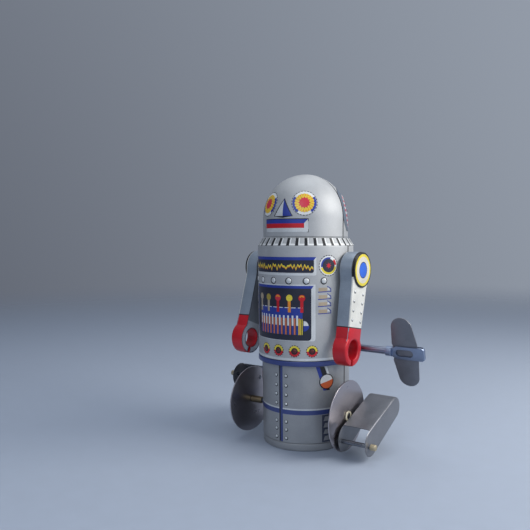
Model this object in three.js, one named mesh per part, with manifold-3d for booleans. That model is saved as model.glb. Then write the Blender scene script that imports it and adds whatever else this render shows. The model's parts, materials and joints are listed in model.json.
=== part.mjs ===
// Tin wind-up robot, walking on two shoes that are hung on crank discs.
// Millimetres, +Z up. The robot faces -Y and its left side is +X.
// The origin is the middle of the base pan's underside.

import * as THREE from "three";
import { mergeVertices } from "three/addons/utils/BufferGeometryUtils.js";
import Module from "manifold-3d";

const wasm = await Module();
wasm.setup();

// ---------- driving dimensions ----------

const TIN = 0.6; // sheet thickness
const GAP = 0.3; // clearance between pieces that touch on the real toy
const ROUND = 40; // sides of the body's round shells
const HALF_TURN = Math.PI;
const DEGREE = Math.PI / 180;

const HEIGHT = 140;
const HEAD_R = 22.2;
const HEAD_BOTTOM = 108.3;
const HEAD_DOME = HEIGHT - HEAD_R; // where the straight wall turns into the dome

const COLLAR_TOP = 108;
const COLLAR_TOP_R = 22.4;
const COLLAR_LIP_R = 19.6;
const COLLAR_BOTTOM = 103.8;
const CHEST_R = 25.1;
const CHEST_BOTTOM = 47.2;

const WAIST_R = 25.4;
const WAIST_LIP_R = 22.2;
const WAIST_TOP = 46.9;
const WAIST_BOTTOM = 44.4;

const SKIRT_R = 23.4;
const SKIRT_TOP = 44.1;
const SKIRT_BOTTOM = 4.3;

const PAN_R = 23.2;
const PAN_RIM = 4;
const PAN_LIP_R = 22.4;
const PAN_LIP_TOP = 7;

const SHOULDER_Z = 91.9;
const ARM_TILT_LEFT = 11; // degrees that each resting arm leans forward
const ARM_TILT_RIGHT = 21;
const ARM_IN = 25.8; // the arm's open side, next to the body
const ARM_OUT = 33.2; // the arm's printed face
const SHOULDER_R = 9;
const NECK_START = -22; // degrees on the shoulder's round, where the side begins
// Half widths and heights below the shoulder, where the round runs into the side.
const NECK = [
  [7.68, -5.4],
  [7.36, -7.6],
  [7.22, -10.2],
];
const ARM_WRIST_HALF = 6.3;
const ARM_WRIST_Z = -29;
const HAND_Z = -39.9;
const HAND_R = 8.2;
const GRIP_R = 5;
const GRIP_GAP = 2.4; // the slit below the grip
const CAP_R = 8.8;
const CAP_THICK = 0.6;
const ROD_R = 1.1;
const BUSH_R = 2.4; // of the bush that stands between the body and each arm

const CRANK_Y = -9.2;
const CRANK_Z = 19.2;
const AXLE_R = 1.2;
const SLEEVE_R = 1.8;
const DISC_R = 18;
const DISC_IN = 30.2;
const DISC_THICK = TIN;
const PIN_R = 1.1;
const PIN_END = 49.2;
const PIN_CAP_R = 1.5;
const PIN_CAP_END = 50.6;
const PIN_LEFT = [-7.4, -10.6]; // the left pin, seen from the axle; the right one is opposite

const FOOT_IN = 31.9;
const FOOT_OUT = 47.1;
const TOE_R = 7;
const HEEL_R = 5.8;
const HEEL_U = 28.3; // from the toe's centre to the heel's
const PIN_U = -3; // the pin is this far ahead of the toe's centre
const FOOT_WEB_START = 1;
const FOOT_SLOPE_LEFT = 22; // degrees that the heel stands above the toe
const FOOT_SLOPE_RIGHT = -24;

const MOTOR_X = 9; // middle of each motor plate
const PLATE_THICK = 0.8;
const MODULE = 0.8; // gear tooth size
const TOOTH_TIP = 0.7; // a tooth's height above and below the pitch circle, in modules
const TOOTH_ROOT = 0.95;
const TIP_SHARE = 0.12; // half a tooth's width at its tip and root, in tooth spacings
const ROOT_SHARE = 0.29;
const ARBOR_R = 1;
const WINDING_Y = 5;
const WINDING_Z = 51.7;
const WINDING_R = 1.8;
const SECOND_Y = 1.71;
const SECOND_Z = 31.97;
const GOVERNOR_Y = 8;
const GOVERNOR_Z = 16.82;
const PALLET_Y = 15.9;
const PALLET_Z = 23.66;
const PALLET_PIN_R = 0.8;
const STAR_X = 6.6;
const CLICK_X = 1.7;
const CLICK_Y = 12.35;
const CLICK_Z = 57.87;
const SPRING_THICK = 0.5;
const BRACKET_TOP = 9;
const PILLARS = [[-12, 66], [16, 69.5], [-15, 12], [16, 12]];
const GREAT_TEETH = 42;
const SECOND_PINION_TEETH = 8;
const SECOND_TEETH = 33;
const CRANK_TEETH = 9;
const GOVERNOR_TEETH = 8;

const KEY_START = 44.9;
const KEY_END = 65.3;
const KEY_MIDDLE = 55.2;
const KEY_TURN = 17; // degrees that the wings lean from upright
const WING_REACH = 18.7;
const WING_TIP_R = 5.5;
const WING_HALF = 6.75;
const WING_THICK = 0.8;
const STRAP_HALF = 3.5;

// ---------- materials ----------

const paint = (color, roughness, metalness) =>
  new THREE.MeshStandardMaterial({ color, roughness, metalness });

const SILVER = paint(0xaab0b4, 0.35, 0.6);
const BLUE = paint(0x26408c, 0.35, 0.3);
const WHITE = paint(0xd5d8d8, 0.4, 0.3);
const PRINT = paint(0xd8c84a, 0.4, 0.1);
const STEEL = paint(0x5d5f63, 0.25, 0.9);
const DARK = paint(0x46484c, 0.4, 0.8);
const BRASS = paint(0x9c7f4a, 0.3, 0.9);

// ---------- geometry helpers ----------

// A closed geometry as a solid that can be joined and cut.
function solid(geometry) {
  const bare = geometry.index ? geometry.toNonIndexed() : geometry.clone();
  bare.deleteAttribute("normal");
  bare.deleteAttribute("uv");
  const merged = mergeVertices(bare, 1e-4);
  return new wasm.Manifold(
    new wasm.Mesh({
      numProp: 3,
      vertProperties: merged.attributes.position.array,
      triVerts: new Uint32Array(merged.index.array),
    }),
  );
}

function geometryOf(made) {
  const mesh = made.getMesh();
  const geometry = new THREE.BufferGeometry();
  geometry.setAttribute("position", new THREE.BufferAttribute(mesh.vertProperties, 3));
  geometry.setIndex(new THREE.BufferAttribute(mesh.triVerts, 1));
  const flat = geometry.toNonIndexed();
  flat.computeVertexNormals();
  return flat;
}

// A solid of revolution about Z. The profile is a list of [radius, z], axis to axis, upwards.
function turned(profile, sides = ROUND) {
  const points = profile.map(([r, z]) => new THREE.Vector2(r, z));
  return solid(new THREE.LatheGeometry(points, sides).rotateX(HALF_TURN / 2));
}

// A ring about Z whose section is a closed list of [radius, z].
const ring = (section, sides = ROUND) => turned([...section, section[0]], sides);

function box(x0, x1, y0, y1, z0, z1) {
  const geometry = new THREE.BoxGeometry(x1 - x0, y1 - y0, z1 - z0);
  return solid(geometry.translate((x0 + x1) / 2, (y0 + y1) / 2, (z0 + z1) / 2));
}

const polygon = (points) => new THREE.Shape(points.map(([a, b]) => new THREE.Vector2(a, b)));

// The points of an arc, from one angle to another in degrees.
function arc(cx, cy, r, from, to, steps) {
  return Array.from({ length: steps + 1 }, (_, i) => {
    const a = (from + ((to - from) * i) / steps) * DEGREE;
    return [cx + r * Math.cos(a), cy + r * Math.sin(a)];
  });
}

// A shape drawn in (Y, Z), made as thick as x0 to x1.
const ALONG_X = new THREE.Matrix4().makeBasis(
  new THREE.Vector3(0, 1, 0),
  new THREE.Vector3(0, 0, 1),
  new THREE.Vector3(1, 0, 0),
);

function slab(shape, x0, x1) {
  const geometry = new THREE.ExtrudeGeometry(shape, { depth: x1 - x0, bevelEnabled: false });
  return solid(geometry.applyMatrix4(ALONG_X).translate(x0, 0, 0));
}

// A round bar or disc along X.
function bar(y, z, r, x0, x1, sides = 12) {
  const circle = polygon(arc(0, 0, r, 0, 360 - 360 / sides, sides - 1));
  return slab(circle, x0, x1).translate([0, y, z]);
}

const tube = (y, z, inner, outer, x0, x1) =>
  bar(y, z, outer, x0, x1, 16).subtract(bar(y, z, inner, x0 - 1, x1 + 1, 16));

const root = new THREE.Group();

function add(parent, name, made, material) {
  const mesh = new THREE.Mesh(geometryOf(made), material);
  mesh.name = name;
  parent.add(mesh);
}

// ---------- body shells ----------

const WORLD = 200;
const FRONT_SPACE = box(-WORLD, WORLD, -WORLD, -GAP / 2, -WORLD, WORLD);
const BACK_SPACE = box(-WORLD, WORLD, GAP / 2, WORLD, -WORLD, WORLD);

function addHalves(name, whole) {
  add(root, name + "_front", whole.intersect(FRONT_SPACE), SILVER);
  add(root, name + "_back", whole.intersect(BACK_SPACE), SILVER);
}

function dome(r, bottom) {
  return turned([[0, bottom], [r, bottom], ...arc(0, HEAD_DOME, r, 0, 90, 8)]);
}

function makeHead() {
  return dome(HEAD_R, HEAD_BOTTOM).subtract(dome(HEAD_R - TIN, HEAD_BOTTOM - 1));
}

function makeChest() {
  const inner = CHEST_R - TIN;
  const chest = ring([
    [inner, CHEST_BOTTOM],
    [CHEST_R, CHEST_BOTTOM],
    [CHEST_R, COLLAR_BOTTOM],
    [COLLAR_TOP_R, COLLAR_TOP],
    [COLLAR_LIP_R, COLLAR_TOP],
    [COLLAR_LIP_R, COLLAR_TOP - TIN],
    [COLLAR_TOP_R - TIN / 2, COLLAR_TOP - TIN],
    [inner, COLLAR_BOTTOM - TIN / 2],
  ]);
  const rodHole = bar(0, SHOULDER_Z, ROD_R + GAP, -CHEST_R - 1, CHEST_R + 1);
  const keyHole = bar(WINDING_Y, WINDING_Z, WINDING_R + 0.6, MOTOR_X, CHEST_R + 1);
  return chest.subtract(rodHole).subtract(keyHole);
}

function makeWaistRing() {
  return ring([
    [WAIST_LIP_R, WAIST_BOTTOM],
    [WAIST_R, WAIST_BOTTOM],
    [WAIST_R, WAIST_TOP],
    [WAIST_R - TIN, WAIST_TOP],
    [WAIST_R - TIN, WAIST_BOTTOM + TIN],
    [WAIST_LIP_R, WAIST_BOTTOM + TIN],
  ]);
}

function makeSkirt() {
  const skirt = ring([
    [SKIRT_R - TIN, SKIRT_BOTTOM],
    [SKIRT_R, SKIRT_BOTTOM],
    [SKIRT_R, SKIRT_TOP],
    [SKIRT_R - TIN, SKIRT_TOP],
  ]);
  return skirt.subtract(bar(CRANK_Y, CRANK_Z, AXLE_R + 0.5, -SKIRT_R - 1, SKIRT_R + 1));
}

function makeBasePan() {
  const chamfer = 0.6;
  return turned([
    [0, 0],
    [PAN_R - chamfer, 0],
    [PAN_R, chamfer],
    [PAN_R, PAN_RIM],
    [PAN_LIP_R, PAN_RIM],
    [PAN_LIP_R, PAN_LIP_TOP],
    [PAN_LIP_R - TIN, PAN_LIP_TOP],
    [PAN_LIP_R - TIN, PAN_RIM - TIN],
    [PAN_R - TIN, PAN_RIM - TIN],
    [PAN_R - TIN, TIN + chamfer / 2],
    [PAN_R - TIN - chamfer / 2, TIN],
    [0, TIN],
  ]);
}

addHalves("head", makeHead());
addHalves("chest", makeChest());
add(root, "waist_ring", makeWaistRing(), BLUE);
addHalves("skirt", makeSkirt());
add(root, "base_pan", makeBasePan(), SILVER);

// ---------- arms ----------

// The arm's outline about the shoulder, drawn in (Y, Z), set in from the edge by inset.
function armOutline(inset) {
  const shoulderR = SHOULDER_R - inset;
  const handR = HAND_R - inset;
  const wrist = ARM_WRIST_HALF - inset;
  const handAngle = Math.acos(wrist / handR) / DEGREE;
  const front = NECK.map(([half, z]) => [half - inset, z]);
  const rear = front.map(([half, z]) => [-half, z]);
  return polygon([
    ...arc(0, 0, shoulderR, NECK_START, 180 - NECK_START, 14),
    ...rear,
    [-wrist, ARM_WRIST_Z],
    ...arc(0, HAND_Z, handR, 180 - handAngle, 360 + handAngle, 18),
    [wrist, ARM_WRIST_Z],
    ...front.reverse(),
  ]);
}

function makeArm() {
  const face = ARM_OUT - TIN;
  const ringWall = bar(0, HAND_Z, GRIP_R + TIN, ARM_IN - 1, ARM_OUT + 1, 24);
  const pocket = slab(armOutline(TIN), ARM_IN - 1, face).subtract(ringWall);
  return slab(armOutline(0), ARM_IN, ARM_OUT)
    .subtract(pocket)
    .subtract(bar(0, HAND_Z, GRIP_R, ARM_IN - 1, ARM_OUT + 1, 24))
    .subtract(bar(0, 0, ROD_R + GAP, ARM_IN, ARM_OUT + 1))
    .subtract(box(ARM_IN - 1, ARM_OUT + 1, -GRIP_GAP / 2, GRIP_GAP / 2, -60, HAND_Z));
}

// The plain plate that closes the arm's side next to the body.
function makeArmBack() {
  const start = ARM_IN + GAP;
  const slit = GRIP_GAP / 2 + TIN + GAP;
  return slab(armOutline(TIN + GAP), start, start + TIN)
    .subtract(bar(0, HAND_Z, GRIP_R + TIN + GAP, ARM_IN - 1, ARM_OUT, 24))
    .subtract(bar(0, 0, BUSH_R + GAP, ARM_IN - 1, ARM_OUT, 16))
    .subtract(box(ARM_IN - 1, ARM_OUT, -slit, slit, -60, HAND_Z));
}

// The two sides of the robot are mirror images: side is 1 on its left and -1 on its right.
const SIDES = [["left", 1], ["right", -1]];
const mirrored = (made, side) => (side > 0 ? made : made.mirror([1, 0, 0]));

function addArm(label, side, tilt) {
  const arm = new THREE.Group();
  arm.position.z = SHOULDER_Z;
  arm.rotation.x = -tilt * DEGREE;
  root.add(arm);
  const cap = bar(0, 0, CAP_R, ARM_OUT + 0.1, ARM_OUT + 0.1 + CAP_THICK, 32);
  add(arm, "arm_" + label, mirrored(makeArm(), side), WHITE);
  add(arm, "arm_back_" + label, mirrored(makeArmBack(), side), STEEL);
  add(arm, "shoulder_cap_" + label, mirrored(cap, side), PRINT);
  const bush = tube(0, SHOULDER_Z, ROD_R + 0.1, BUSH_R, CHEST_R + GAP, ARM_OUT - TIN - GAP);
  add(root, "shoulder_bush_" + label, mirrored(bush, side), STEEL);
}

addArm("left", 1, ARM_TILT_LEFT);
addArm("right", -1, ARM_TILT_RIGHT);
add(root, "shoulder_rod", bar(0, SHOULDER_Z, ROD_R, -ARM_OUT + 0.1, ARM_OUT - 0.1), STEEL);

// ---------- cranks ----------

const DISC_OUT = DISC_IN + DISC_THICK;

function makeDisc(pinY, pinZ) {
  return bar(CRANK_Y, CRANK_Z, DISC_R, DISC_IN, DISC_OUT, 56)
    .subtract(bar(CRANK_Y, CRANK_Z, AXLE_R + 0.1, DISC_IN - 1, DISC_OUT + 1))
    .subtract(bar(pinY, pinZ, PIN_R + 0.1, DISC_IN - 1, DISC_OUT + 1));
}

// The axle's end is spread into a flat round head that holds the disc.
function makeAxle() {
  const headStart = DISC_OUT + 0.15;
  const head = bar(CRANK_Y, CRANK_Z, 2.5, headStart, headStart + 0.5);
  return bar(CRANK_Y, CRANK_Z, AXLE_R, -headStart - 0.1, headStart + 0.1)
    .add(head)
    .add(mirrored(head, -1));
}

function addCrank(label, side) {
  const y = CRANK_Y + side * PIN_LEFT[0];
  const z = CRANK_Z + side * PIN_LEFT[1];
  const sleeve = tube(CRANK_Y, CRANK_Z, AXLE_R + 0.1, SLEEVE_R, SKIRT_R - 0.4, DISC_IN - 0.1);
  const pin = bar(y, z, PIN_R, DISC_IN - 0.3, PIN_END, 12);
  const cap = bar(y, z, PIN_CAP_R, FOOT_OUT + 0.7, PIN_CAP_END).subtract(
    bar(y, z, PIN_R + 0.1, FOOT_OUT, PIN_END + 0.1),
  );
  add(root, "crank_disc_" + label, mirrored(makeDisc(y, z), side), STEEL);
  add(root, "axle_sleeve_" + label, mirrored(sleeve, side), BRASS);
  add(root, "crank_pin_" + label, mirrored(pin, side), STEEL);
  add(root, "pin_cap_" + label, mirrored(cap, side), BRASS);
  return [y, z];
}

add(root, "crank_axle", makeAxle(), STEEL);
const [LEFT_PIN, RIGHT_PIN] = SIDES.map(([label, side]) => addCrank(label, side));

// ---------- shoes ----------

// The side plate of a shoe, drawn from the toe's centre: u runs to the heel and v is up.
function shoeOutline(inset) {
  const lean = Math.asin((TOE_R - HEEL_R) / HEEL_U) / DEGREE;
  return polygon([
    ...arc(0, 0, TOE_R - inset, 90 - lean, 270 + lean, 16),
    ...arc(HEEL_U, 0, HEEL_R - inset, -90 + lean, 90 - lean, 14),
  ]);
}

// A bent channel: two side plates and the web that joins them along the top and round the heel.
function makeShoe() {
  const inside = FOOT_OUT - TIN;
  const outside = slab(shoeOutline(0), FOOT_IN, FOOT_OUT);
  const hollow = slab(shoeOutline(TIN), FOOT_IN + TIN, inside);
  const below = box(FOOT_IN + TIN, inside, -20, HEEL_U + 20, -20, 0);
  const front = box(FOOT_IN + TIN, inside, -20, FOOT_WEB_START, -20, 20);
  const heel = box(FOOT_IN + TIN, inside, HEEL_U + 3.6, HEEL_U + 20, -20, 20);
  return outside
    .subtract(hollow)
    .subtract(below)
    .subtract(front)
    .subtract(heel)
    .subtract(bar(PIN_U, 0, PIN_R + 0.15, FOOT_IN - 1, FOOT_OUT + 1));
}

function addShoe(label, side, [pinY, pinZ], slope) {
  const shoe = new THREE.Group();
  shoe.position.set(0, pinY, pinZ);
  shoe.rotation.x = slope * DEGREE;
  root.add(shoe);
  add(shoe, "foot_" + label, mirrored(makeShoe().translate([0, -PIN_U, 0]), side), DARK);
}

addShoe("left", 1, LEFT_PIN, FOOT_SLOPE_LEFT);
addShoe("right", -1, RIGHT_PIN, FOOT_SLOPE_RIGHT);

// ---------- key ----------

function wingsOutline() {
  const tip = WING_REACH - WING_TIP_R;
  return polygon([
    ...arc(-0.7, tip, WING_TIP_R, 10, 170, 10),
    [-WING_HALF, STRAP_HALF + 1],
    [-WING_HALF + 1.6, 0],
    [-WING_HALF, -STRAP_HALF - 1],
    ...arc(0.7, -tip, WING_TIP_R, 190, 350, 10),
    [WING_HALF, -STRAP_HALF - 1],
    [WING_HALF - 1.6, 0],
    [WING_HALF, STRAP_HALF + 1],
  ]);
}

// The wings lie in the (X, Z) plane: the outline's first direction is along the shaft.
function makeWings() {
  const options = { depth: WING_THICK, bevelEnabled: false };
  const geometry = new THREE.ExtrudeGeometry(wingsOutline(), options).rotateX(HALF_TURN / 2);
  return solid(geometry.translate(KEY_MIDDLE, WING_THICK / 2, 0));
}

// A strip folded round the wings and gripped onto the shaft, with a window in each cheek.
function makeStrap() {
  const inner = WING_THICK / 2 + 0.1;
  const outer = inner + TIN;
  const neck = bar(0, 0, WINDING_R + 0.8, KEY_START, KEY_START + 3.4, 16);
  const cheeks = box(KEY_START + 2.6, KEY_END, -outer, outer, -STRAP_HALF, STRAP_HALF);
  const slot = box(KEY_START + 3.2, KEY_END - TIN, -inner, inner, -10, 10);
  const window = box(50.5, 59.5, -10, 10, -1.9, 1.9);
  const bore = bar(0, 0, WINDING_R + 0.1, KEY_START - 1, KEY_START + 2.5);
  return neck.add(cheeks).subtract(slot).subtract(window).subtract(bore);
}

function addKey() {
  const key = new THREE.Group();
  key.position.set(0, WINDING_Y, WINDING_Z);
  key.rotation.x = KEY_TURN * DEGREE;
  root.add(key);
  add(key, "key_strap", makeStrap(), DARK);
  add(key, "key_wings", makeWings(), DARK);
  const arbor = bar(0, 0, WINDING_R, -MOTOR_X - 1.4, KEY_START + 2.4);
  add(key, "winding_arbor", arbor, STEEL);
}

addKey();

// ---------- clockwork motor ----------

const polar = (r, angle) => [r * Math.cos(angle * DEGREE), r * Math.sin(angle * DEGREE)];

// The arbors' places in (Y, Z), with the gears that mesh on them.
// A gear's phase turns it, counted in teeth.
const GREAT = { y: WINDING_Y, z: WINDING_Z, teeth: GREAT_TEETH, phase: 0 };
const SECOND_PINION = meshed({ y: SECOND_Y, z: SECOND_Z, teeth: SECOND_PINION_TEETH }, GREAT);
const SECOND = { y: SECOND_Y, z: SECOND_Z, teeth: SECOND_TEETH, phase: 0 };
const CRANK_PINION = meshed({ y: CRANK_Y, z: CRANK_Z, teeth: CRANK_TEETH }, SECOND);
const GOVERNOR = meshed({ y: GOVERNOR_Y, z: GOVERNOR_Z, teeth: GOVERNOR_TEETH }, SECOND);

// Turns a gear so that its tooth gaps take the teeth of the gear that drives it.
function meshed(gear, driver) {
  const line = Math.atan2(gear.z - driver.z, gear.y - driver.y) / DEGREE;
  const past = (line * driver.teeth) / 360 - driver.phase;
  const share = past - Math.floor(past);
  return { ...gear, phase: ((line + 180) * gear.teeth) / 360 + share + 0.5 };
}

// A gear with straight-sided teeth, made x0 to x1 thick.
function makeGear({ y, z, teeth, phase }, x0, x1, bore) {
  const pitchR = (MODULE * teeth) / 2;
  const tipR = pitchR + TOOTH_TIP * MODULE;
  const rootR = pitchR - TOOTH_ROOT * MODULE;
  const step = 360 / teeth;
  const points = [];
  for (let i = 0; i < teeth; i++) {
    const middle = (i + phase) * step;
    points.push(
      polar(rootR, middle - ROOT_SHARE * step),
      polar(tipR, middle - TIP_SHARE * step),
      polar(tipR, middle + TIP_SHARE * step),
      polar(rootR, middle + ROOT_SHARE * step),
    );
  }
  return slab(polygon(points), x0, x1)
    .subtract(bar(0, 0, bore, x0 - 1, x1 + 1))
    .translate([0, y, z]);
}

// A wheel whose teeth rise slowly and drop at once, or, with lean 0.5, a star.
function makeSawWheel(y, z, teeth, rootR, tipR, lean, x0, x1, bore) {
  const step = 360 / teeth;
  const points = [];
  for (let i = 0; i < teeth; i++) {
    points.push(polar(rootR, i * step), polar(tipR, (i + lean) * step));
  }
  return slab(polygon(points), x0, x1)
    .subtract(bar(0, 0, bore, x0 - 1, x1 + 1))
    .translate([0, y, z]);
}

function makeMainspring() {
  const turns = 6;
  const steps = turns * 14;
  const innerR = 3.2;
  const outerR = 14.8;
  const edge = (offset) =>
    Array.from({ length: steps + 1 }, (_, i) =>
      polar(innerR + offset + ((outerR - innerR) * i) / steps, (i * turns * 360) / steps),
    );
  const outline = polygon([...edge(SPRING_THICK / 2), ...edge(-SPRING_THICK / 2).reverse()]);
  return slab(outline, -7.4, -0.6).translate([0, WINDING_Y, WINDING_Z]);
}

function makePlate() {
  const outline = polygon([
    [-17, 5],
    [17, 5],
    [18.8, 8],
    [18.8, 70],
    [17, 72],
    [-12, 69],
    [-15, 66],
    [-17, 40],
  ]);
  const half = PLATE_THICK / 2;
  const holes = [
    [WINDING_Y, WINDING_Z, WINDING_R],
    [SECOND_Y, SECOND_Z, ARBOR_R],
    [CRANK_Y, CRANK_Z, AXLE_R],
    [GOVERNOR_Y, GOVERNOR_Z, ARBOR_R],
    [PALLET_Y, PALLET_Z, PALLET_PIN_R],
  ];
  return holes.reduce(
    (plate, [y, z, r]) => plate.subtract(bar(y, z, r + 0.2, MOTOR_X - 2, MOTOR_X + 2)),
    slab(outline, MOTOR_X - half, MOTOR_X + half),
  );
}

// A bent strip on the pan's floor with an ear up the inside of each motor plate.
function makeBracket(y0, y1) {
  const out = MOTOR_X - PLATE_THICK / 2 - 0.2;
  const floor = TIN + GAP;
  return box(-out, out, y0, y1, floor, floor + PLATE_THICK)
    .add(box(out - PLATE_THICK, out, y0, y1, floor, BRACKET_TOP))
    .add(box(-out, PLATE_THICK - out, y0, y1, floor, BRACKET_TOP));
}

// The click's body, drawn from its pivot: its tip lies just over the ratchet's teeth.
function makeClick() {
  const outline = polygon([[-5.6, 0.2], [-1.2, -1], [0.6, -1.2], [1.3, 0], [0.9, 1.2], [-0.8, 1.4]]);
  return slab(outline, CLICK_X, CLICK_X + PLATE_THICK).add(
    bar(0, 0, 0.7, CLICK_X - 0.25, CLICK_X + PLATE_THICK + 0.4, 10),
  );
}

// A thin curved leaf that stands behind the click.
function makeClickSpring() {
  const outer = arc(0, 0, 13.4, -20, 40, 10);
  const inner = arc(0, 0, 13, 40, -20, 10);
  return slab(polygon([...outer, ...inner]), CLICK_X, CLICK_X + PLATE_THICK).translate([
    0,
    WINDING_Y,
    WINDING_Z,
  ]);
}

// A rocking bar with a prong each side of the star wheel, clear of its points.
function makePallet() {
  const outline = polygon([
    [-4.6, 4.4],
    [-3.6, 4.4],
    [-3.2, 1.7],
    [3.2, 1.7],
    [3.6, 4.4],
    [4.6, 4.4],
    [4.6, -1.7],
    [-4.6, -1.7],
  ]);
  const turn = Math.atan2(GOVERNOR_Z - PALLET_Z, GOVERNOR_Y - PALLET_Y) / DEGREE - 90;
  return slab(outline, STAR_X, STAR_X + PLATE_THICK)
    .subtract(bar(0, 0, PALLET_PIN_R + 0.15, 0, MOTOR_X))
    .rotate([turn, 0, 0])
    .translate([0, PALLET_Y, PALLET_Z]);
}

function addMotor() {
  const arborEnd = MOTOR_X + 1.2;
  const plate = makePlate();
  add(root, "motor_plate_left", plate, STEEL);
  add(root, "motor_plate_right", mirrored(plate, -1), STEEL);
  PILLARS.forEach(([y, z], i) => {
    const reach = MOTOR_X - PLATE_THICK / 2 - 0.1;
    add(root, "motor_pillar_" + (i + 1), bar(y, z, 1.5, -reach, reach, 12), STEEL);
  });
  add(root, "motor_bracket_front", makeBracket(-18, -9), STEEL);
  add(root, "motor_bracket_back", makeBracket(9, 18), STEEL);
  add(root, "mainspring", makeMainspring(), DARK);
  add(root, "great_wheel", makeGear(GREAT, 0.3, 1.3, WINDING_R + 0.1), BRASS);
  const ratchet = makeSawWheel(
    WINDING_Y, WINDING_Z, 12, 4.8, 6, 0.9, CLICK_X, CLICK_X + PLATE_THICK, WINDING_R + 0.1,
  );
  add(root, "ratchet_wheel", ratchet, STEEL);
  add(root, "click", makeClick().translate([0, CLICK_Y, CLICK_Z]), STEEL);
  add(root, "click_spring", makeClickSpring(), STEEL);
  add(root, "second_arbor", bar(SECOND_Y, SECOND_Z, ARBOR_R, -arborEnd, arborEnd, 12), STEEL);
  add(root, "second_pinion", makeGear(SECOND_PINION, 0.1, 1.5, ARBOR_R + 0.1), STEEL);
  add(root, "second_wheel", makeGear(SECOND, 4, 4.9, ARBOR_R + 0.1), BRASS);
  add(root, "crank_pinion", makeGear(CRANK_PINION, 3.5, 5.4, AXLE_R + 0.1), STEEL);
  add(root, "governor_arbor", bar(GOVERNOR_Y, GOVERNOR_Z, ARBOR_R, -arborEnd, arborEnd, 12), STEEL);
  add(root, "governor_pinion", makeGear(GOVERNOR, 3.6, 5.3, ARBOR_R + 0.1), STEEL);
  const star = makeSawWheel(
    GOVERNOR_Y, GOVERNOR_Z, 8, 4.2, 6, 0.5, STAR_X, STAR_X + PLATE_THICK, ARBOR_R + 0.1,
  );
  add(root, "star_wheel", star, BRASS);
  add(root, "pallet", makePallet(), STEEL);
  add(root, "pallet_pin", bar(PALLET_Y, PALLET_Z, PALLET_PIN_R, -arborEnd, arborEnd, 10), STEEL);
}

addMotor();

export default root;
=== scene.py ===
"""The looks of a tin wind-up robot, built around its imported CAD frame.

Lengths are in millimetres until a mesh is made. The robot faces -Y and its left side is +X.
On the round body a place is (turn, height): turn is in degrees from the front, towards +X.
"""

import json
import math

import bmesh
import bpy
from mathutils import Matrix, Vector


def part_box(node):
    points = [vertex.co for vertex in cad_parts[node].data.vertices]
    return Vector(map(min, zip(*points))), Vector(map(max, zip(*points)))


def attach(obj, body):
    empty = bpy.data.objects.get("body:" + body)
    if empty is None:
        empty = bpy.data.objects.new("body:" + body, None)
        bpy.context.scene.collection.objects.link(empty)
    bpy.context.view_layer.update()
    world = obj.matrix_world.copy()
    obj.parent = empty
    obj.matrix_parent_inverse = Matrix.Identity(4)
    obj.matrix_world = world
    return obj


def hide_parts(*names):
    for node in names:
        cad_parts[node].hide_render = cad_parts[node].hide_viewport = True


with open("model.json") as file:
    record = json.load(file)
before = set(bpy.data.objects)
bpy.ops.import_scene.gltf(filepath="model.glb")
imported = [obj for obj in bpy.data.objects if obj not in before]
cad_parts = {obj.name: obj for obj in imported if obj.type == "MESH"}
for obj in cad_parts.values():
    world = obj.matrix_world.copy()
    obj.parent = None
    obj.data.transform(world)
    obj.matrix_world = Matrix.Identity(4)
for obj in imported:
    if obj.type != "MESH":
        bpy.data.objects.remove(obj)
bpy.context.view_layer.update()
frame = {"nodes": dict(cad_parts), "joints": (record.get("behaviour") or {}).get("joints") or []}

MM = 0.001


def span(node):
    """A CAD node's lowest and highest corner."""
    low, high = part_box(node)
    return low / MM, high / MM


def pivot(name):
    """Where a joint's axis is."""
    joint = next(j for j in frame["joints"] if j["name"] == name)
    return Vector(joint["pos_m"]) / MM


# ---------- sizes taken from the frame ----------

HEAD_LOW, HEAD_HIGH = span("head_front")
HEAD_R = HEAD_HIGH.x
HEAD_BOTTOM = HEAD_LOW.z
HEAD_DOME = HEAD_HIGH.z - HEAD_R
CHEST_LOW, CHEST_HIGH = span("chest_front")
CHEST_R = CHEST_HIGH.x
CHEST_BOTTOM = CHEST_LOW.z
COLLAR_TOP = CHEST_HIGH.z
WAIST_LOW, WAIST_HIGH = span("waist_ring")
SKIRT_LOW, SKIRT_HIGH = span("skirt_front")
SKIRT_R = SKIRT_HIGH.x
PAN_HIGH = span("base_pan")[1]
ARM_LOW, ARM_HIGH = span("arm_left")
CAP_LOW, CAP_HIGH = span("shoulder_cap_left")
DISC_LOW, DISC_HIGH = span("crank_disc_left")
FOOT_LOW, FOOT_HIGH = span("foot_left")
STRAP_LOW, STRAP_HIGH = span("key_strap")
SHOULDER = pivot("arm_left_swing")
CRANK = pivot("crank_spin")
KEY = pivot("key_wind")
SHOE_PINS = {1: pivot("shoe_left_pivot"), -1: pivot("shoe_right_pivot")}

# ---------- sizes of the finer shapes ----------

SHEET = 0.4  # visible thickness of the tin
COLLAR_TOP_R = 22.4
COLLAR_BOTTOM = 103.8
SEAM_STEP = 0.3  # the back halves' surface lies this far inside the front ones'
TURN_STEP = 3  # degrees between the round shells' facets
CORNER_R = 0.5  # of the shells' bends
FRONT_EDGE = 90.4  # degrees to each side of the front that the front halves reach
BACK_EDGE = 89.4  # degrees from the front at which the back halves start
SEAM_TURN = 90.6  # degrees from the front to the middle of the dark joint
ROD_HOLE_R = 1.5
ARBOR_HOLE_R = 2
AXLE_HOLE_R = 1.9

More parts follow.
